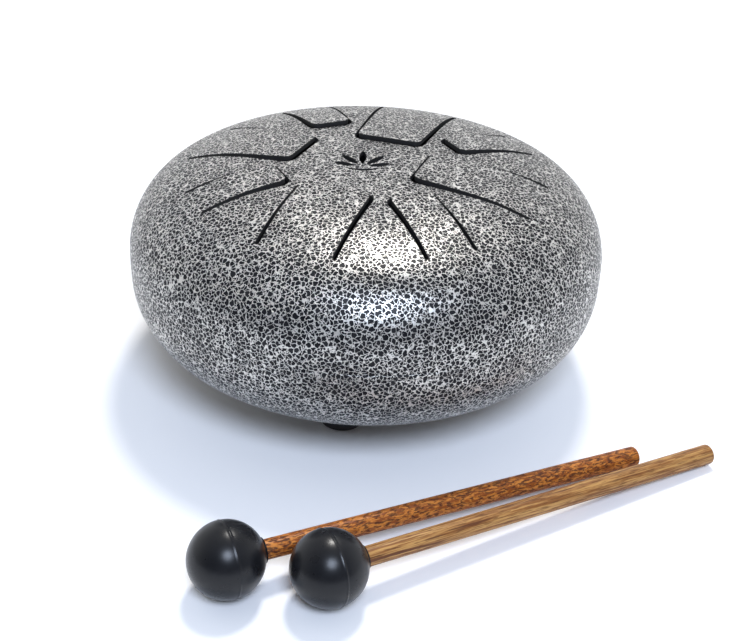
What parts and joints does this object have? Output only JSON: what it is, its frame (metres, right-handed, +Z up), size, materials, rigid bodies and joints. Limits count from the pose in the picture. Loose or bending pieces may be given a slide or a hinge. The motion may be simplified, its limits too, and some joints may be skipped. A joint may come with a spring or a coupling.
{
  "type": "steel tongue drum with two mallets",
  "caption": "Round welded steel drum, its domed top slit into raised tongues round a cut-out flower, on rubber feet, with two wooden mallets that have rubber ball heads.",
  "frame": {"origin": "where the drum's own axis meets the surface that it stands on", "axes": "+Z up along the drum's axis, -Y towards the player, where the mallets lie, +X to the player's right"},
  "size_m": [0.1839, 0.2056, 0.074],
  "materials": {
    "drum_paint": "silver and black hammertone enamel",
    "foot_rubber": "moulded, matt",
    "zinc_steel": "zinc plated",
    "head_rubber": "moulded, satin",
    "reddish_wood": "oiled, coarse flecked grain",
    "golden_wood": "oiled, straight grain"
  },
  "bodies": {
    "drum": {"upper_shell": "drum_paint", "lower_shell": "drum_paint", "seam_weld": "drum_paint", "foot_front": "foot_rubber", "foot_right": "foot_rubber", "foot_left": "foot_rubber", "foot_washers": "zinc_steel", "foot_screws": "zinc_steel"},
    "rear_mallet": {"rear_mallet_head": "head_rubber", "rear_mallet_stick": "reddish_wood"},
    "front_mallet": {"front_mallet_head": "head_rubber", "front_mallet_stick": "golden_wood"}
  },
  "joints": [
    {"name": "rear_mallet_lift", "type": "slide", "parent": "drum", "child": "rear_mallet", "axis": [0, 0, 1], "range_m": [0, 0.12]},
    {"name": "front_mallet_lift", "type": "slide", "parent": "drum", "child": "front_mallet", "axis": [0, 0, 1], "range_m": [0, 0.12]}
  ]
}
